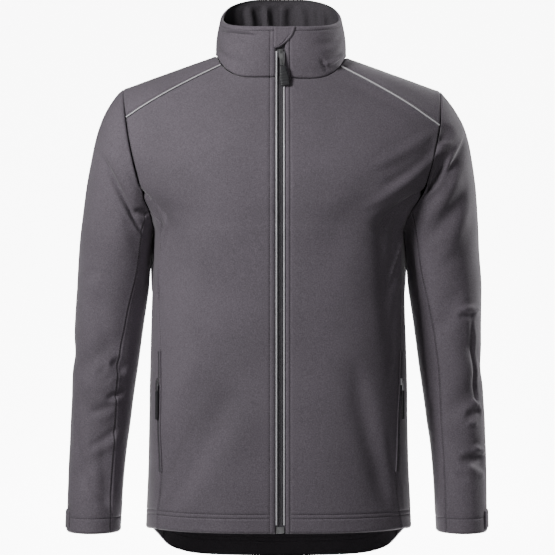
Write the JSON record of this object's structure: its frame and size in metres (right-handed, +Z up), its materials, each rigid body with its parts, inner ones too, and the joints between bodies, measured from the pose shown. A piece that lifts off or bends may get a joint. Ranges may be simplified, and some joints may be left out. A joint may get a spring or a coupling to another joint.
{
  "type": "softshell jacket",
  "caption": "Hip-length softshell jacket with stand collar, full front zip, piped shoulder yokes, side panels, zip pockets, tabbed cuffs and a dropped back hem",
  "frame": {"origin": "on the garment's middle, at the height of the high point of the shoulder, where the wearer's shoulders hold the jacket up", "axes": "+X towards the wearer's left, -Y out of the front, +Z up"},
  "size_m": [0.6251, 0.2644, 0.8551],
  "materials": {
    "shell_cloth": "matt bonded softshell, graphite grey, fine close weave",
    "zip_tape": "close woven dark grey zip tape",
    "silver_piping": "reflective silver piping, satin",
    "zip_metal": "polished metal, small scratches",
    "moulded_grip": "matt moulded rubber"
  },
  "bodies": {
    "jacket": {"front_right": "shell_cloth", "front_left": "shell_cloth", "back": "shell_cloth", "side_right": "shell_cloth", "side_left": "shell_cloth", "yoke_right": "shell_cloth", "yoke_left": "shell_cloth", "sleeve_upper_right": "shell_cloth", "sleeve_upper_left": "shell_cloth", "sleeve_under_right": "shell_cloth", "sleeve_under_left": "shell_cloth", "collar": "shell_cloth", "chin_guard": "shell_cloth", "cuff_tab_right": "shell_cloth", "cuff_tab_left": "shell_cloth", "zip_tape_right": "zip_tape", "zip_tape_left": "zip_tape", "pocket_zip_right": "zip_tape", "pocket_zip_left": "zip_tape", "zip_piping_right": "silver_piping", "zip_piping_left": "silver_piping", "yoke_piping_right": "silver_piping", "yoke_piping_left": "silver_piping", "zip_slider": "zip_metal", "zip_box": "zip_metal", "pocket_slider_right": "zip_metal", "pocket_slider_left": "zip_metal"},
    "zip_pull": {"zip_pull_link": "zip_metal", "zip_pull_tab": "moulded_grip"},
    "pocket_pull_right": {"pocket_pull_right_link": "zip_metal", "pocket_pull_right_tab": "moulded_grip"},
    "pocket_pull_left": {"pocket_pull_left_link": "zip_metal", "pocket_pull_left_tab": "moulded_grip"}
  },
  "joints": [
    {"name": "zip_pull_swing", "type": "hinge", "parent": "jacket", "child": "zip_pull", "pos_m": [0.003, -0.08227, -0.0005], "axis": [-1, 0, 0], "range_deg": [0, 140]},
    {"name": "pocket_pull_right_swing", "type": "hinge", "parent": "jacket", "child": "pocket_pull_right", "pos_m": [-0.17714, -0.0756, -0.48], "axis": [-0.564, 0.8258, 0], "range_deg": [0, 140]},
    {"name": "pocket_pull_left_swing", "type": "hinge", "parent": "jacket", "child": "pocket_pull_left", "pos_m": [0.18153, -0.06856, -0.48], "axis": [-0.4942, -0.8694, 0], "range_deg": [0, 140]}
  ]
}
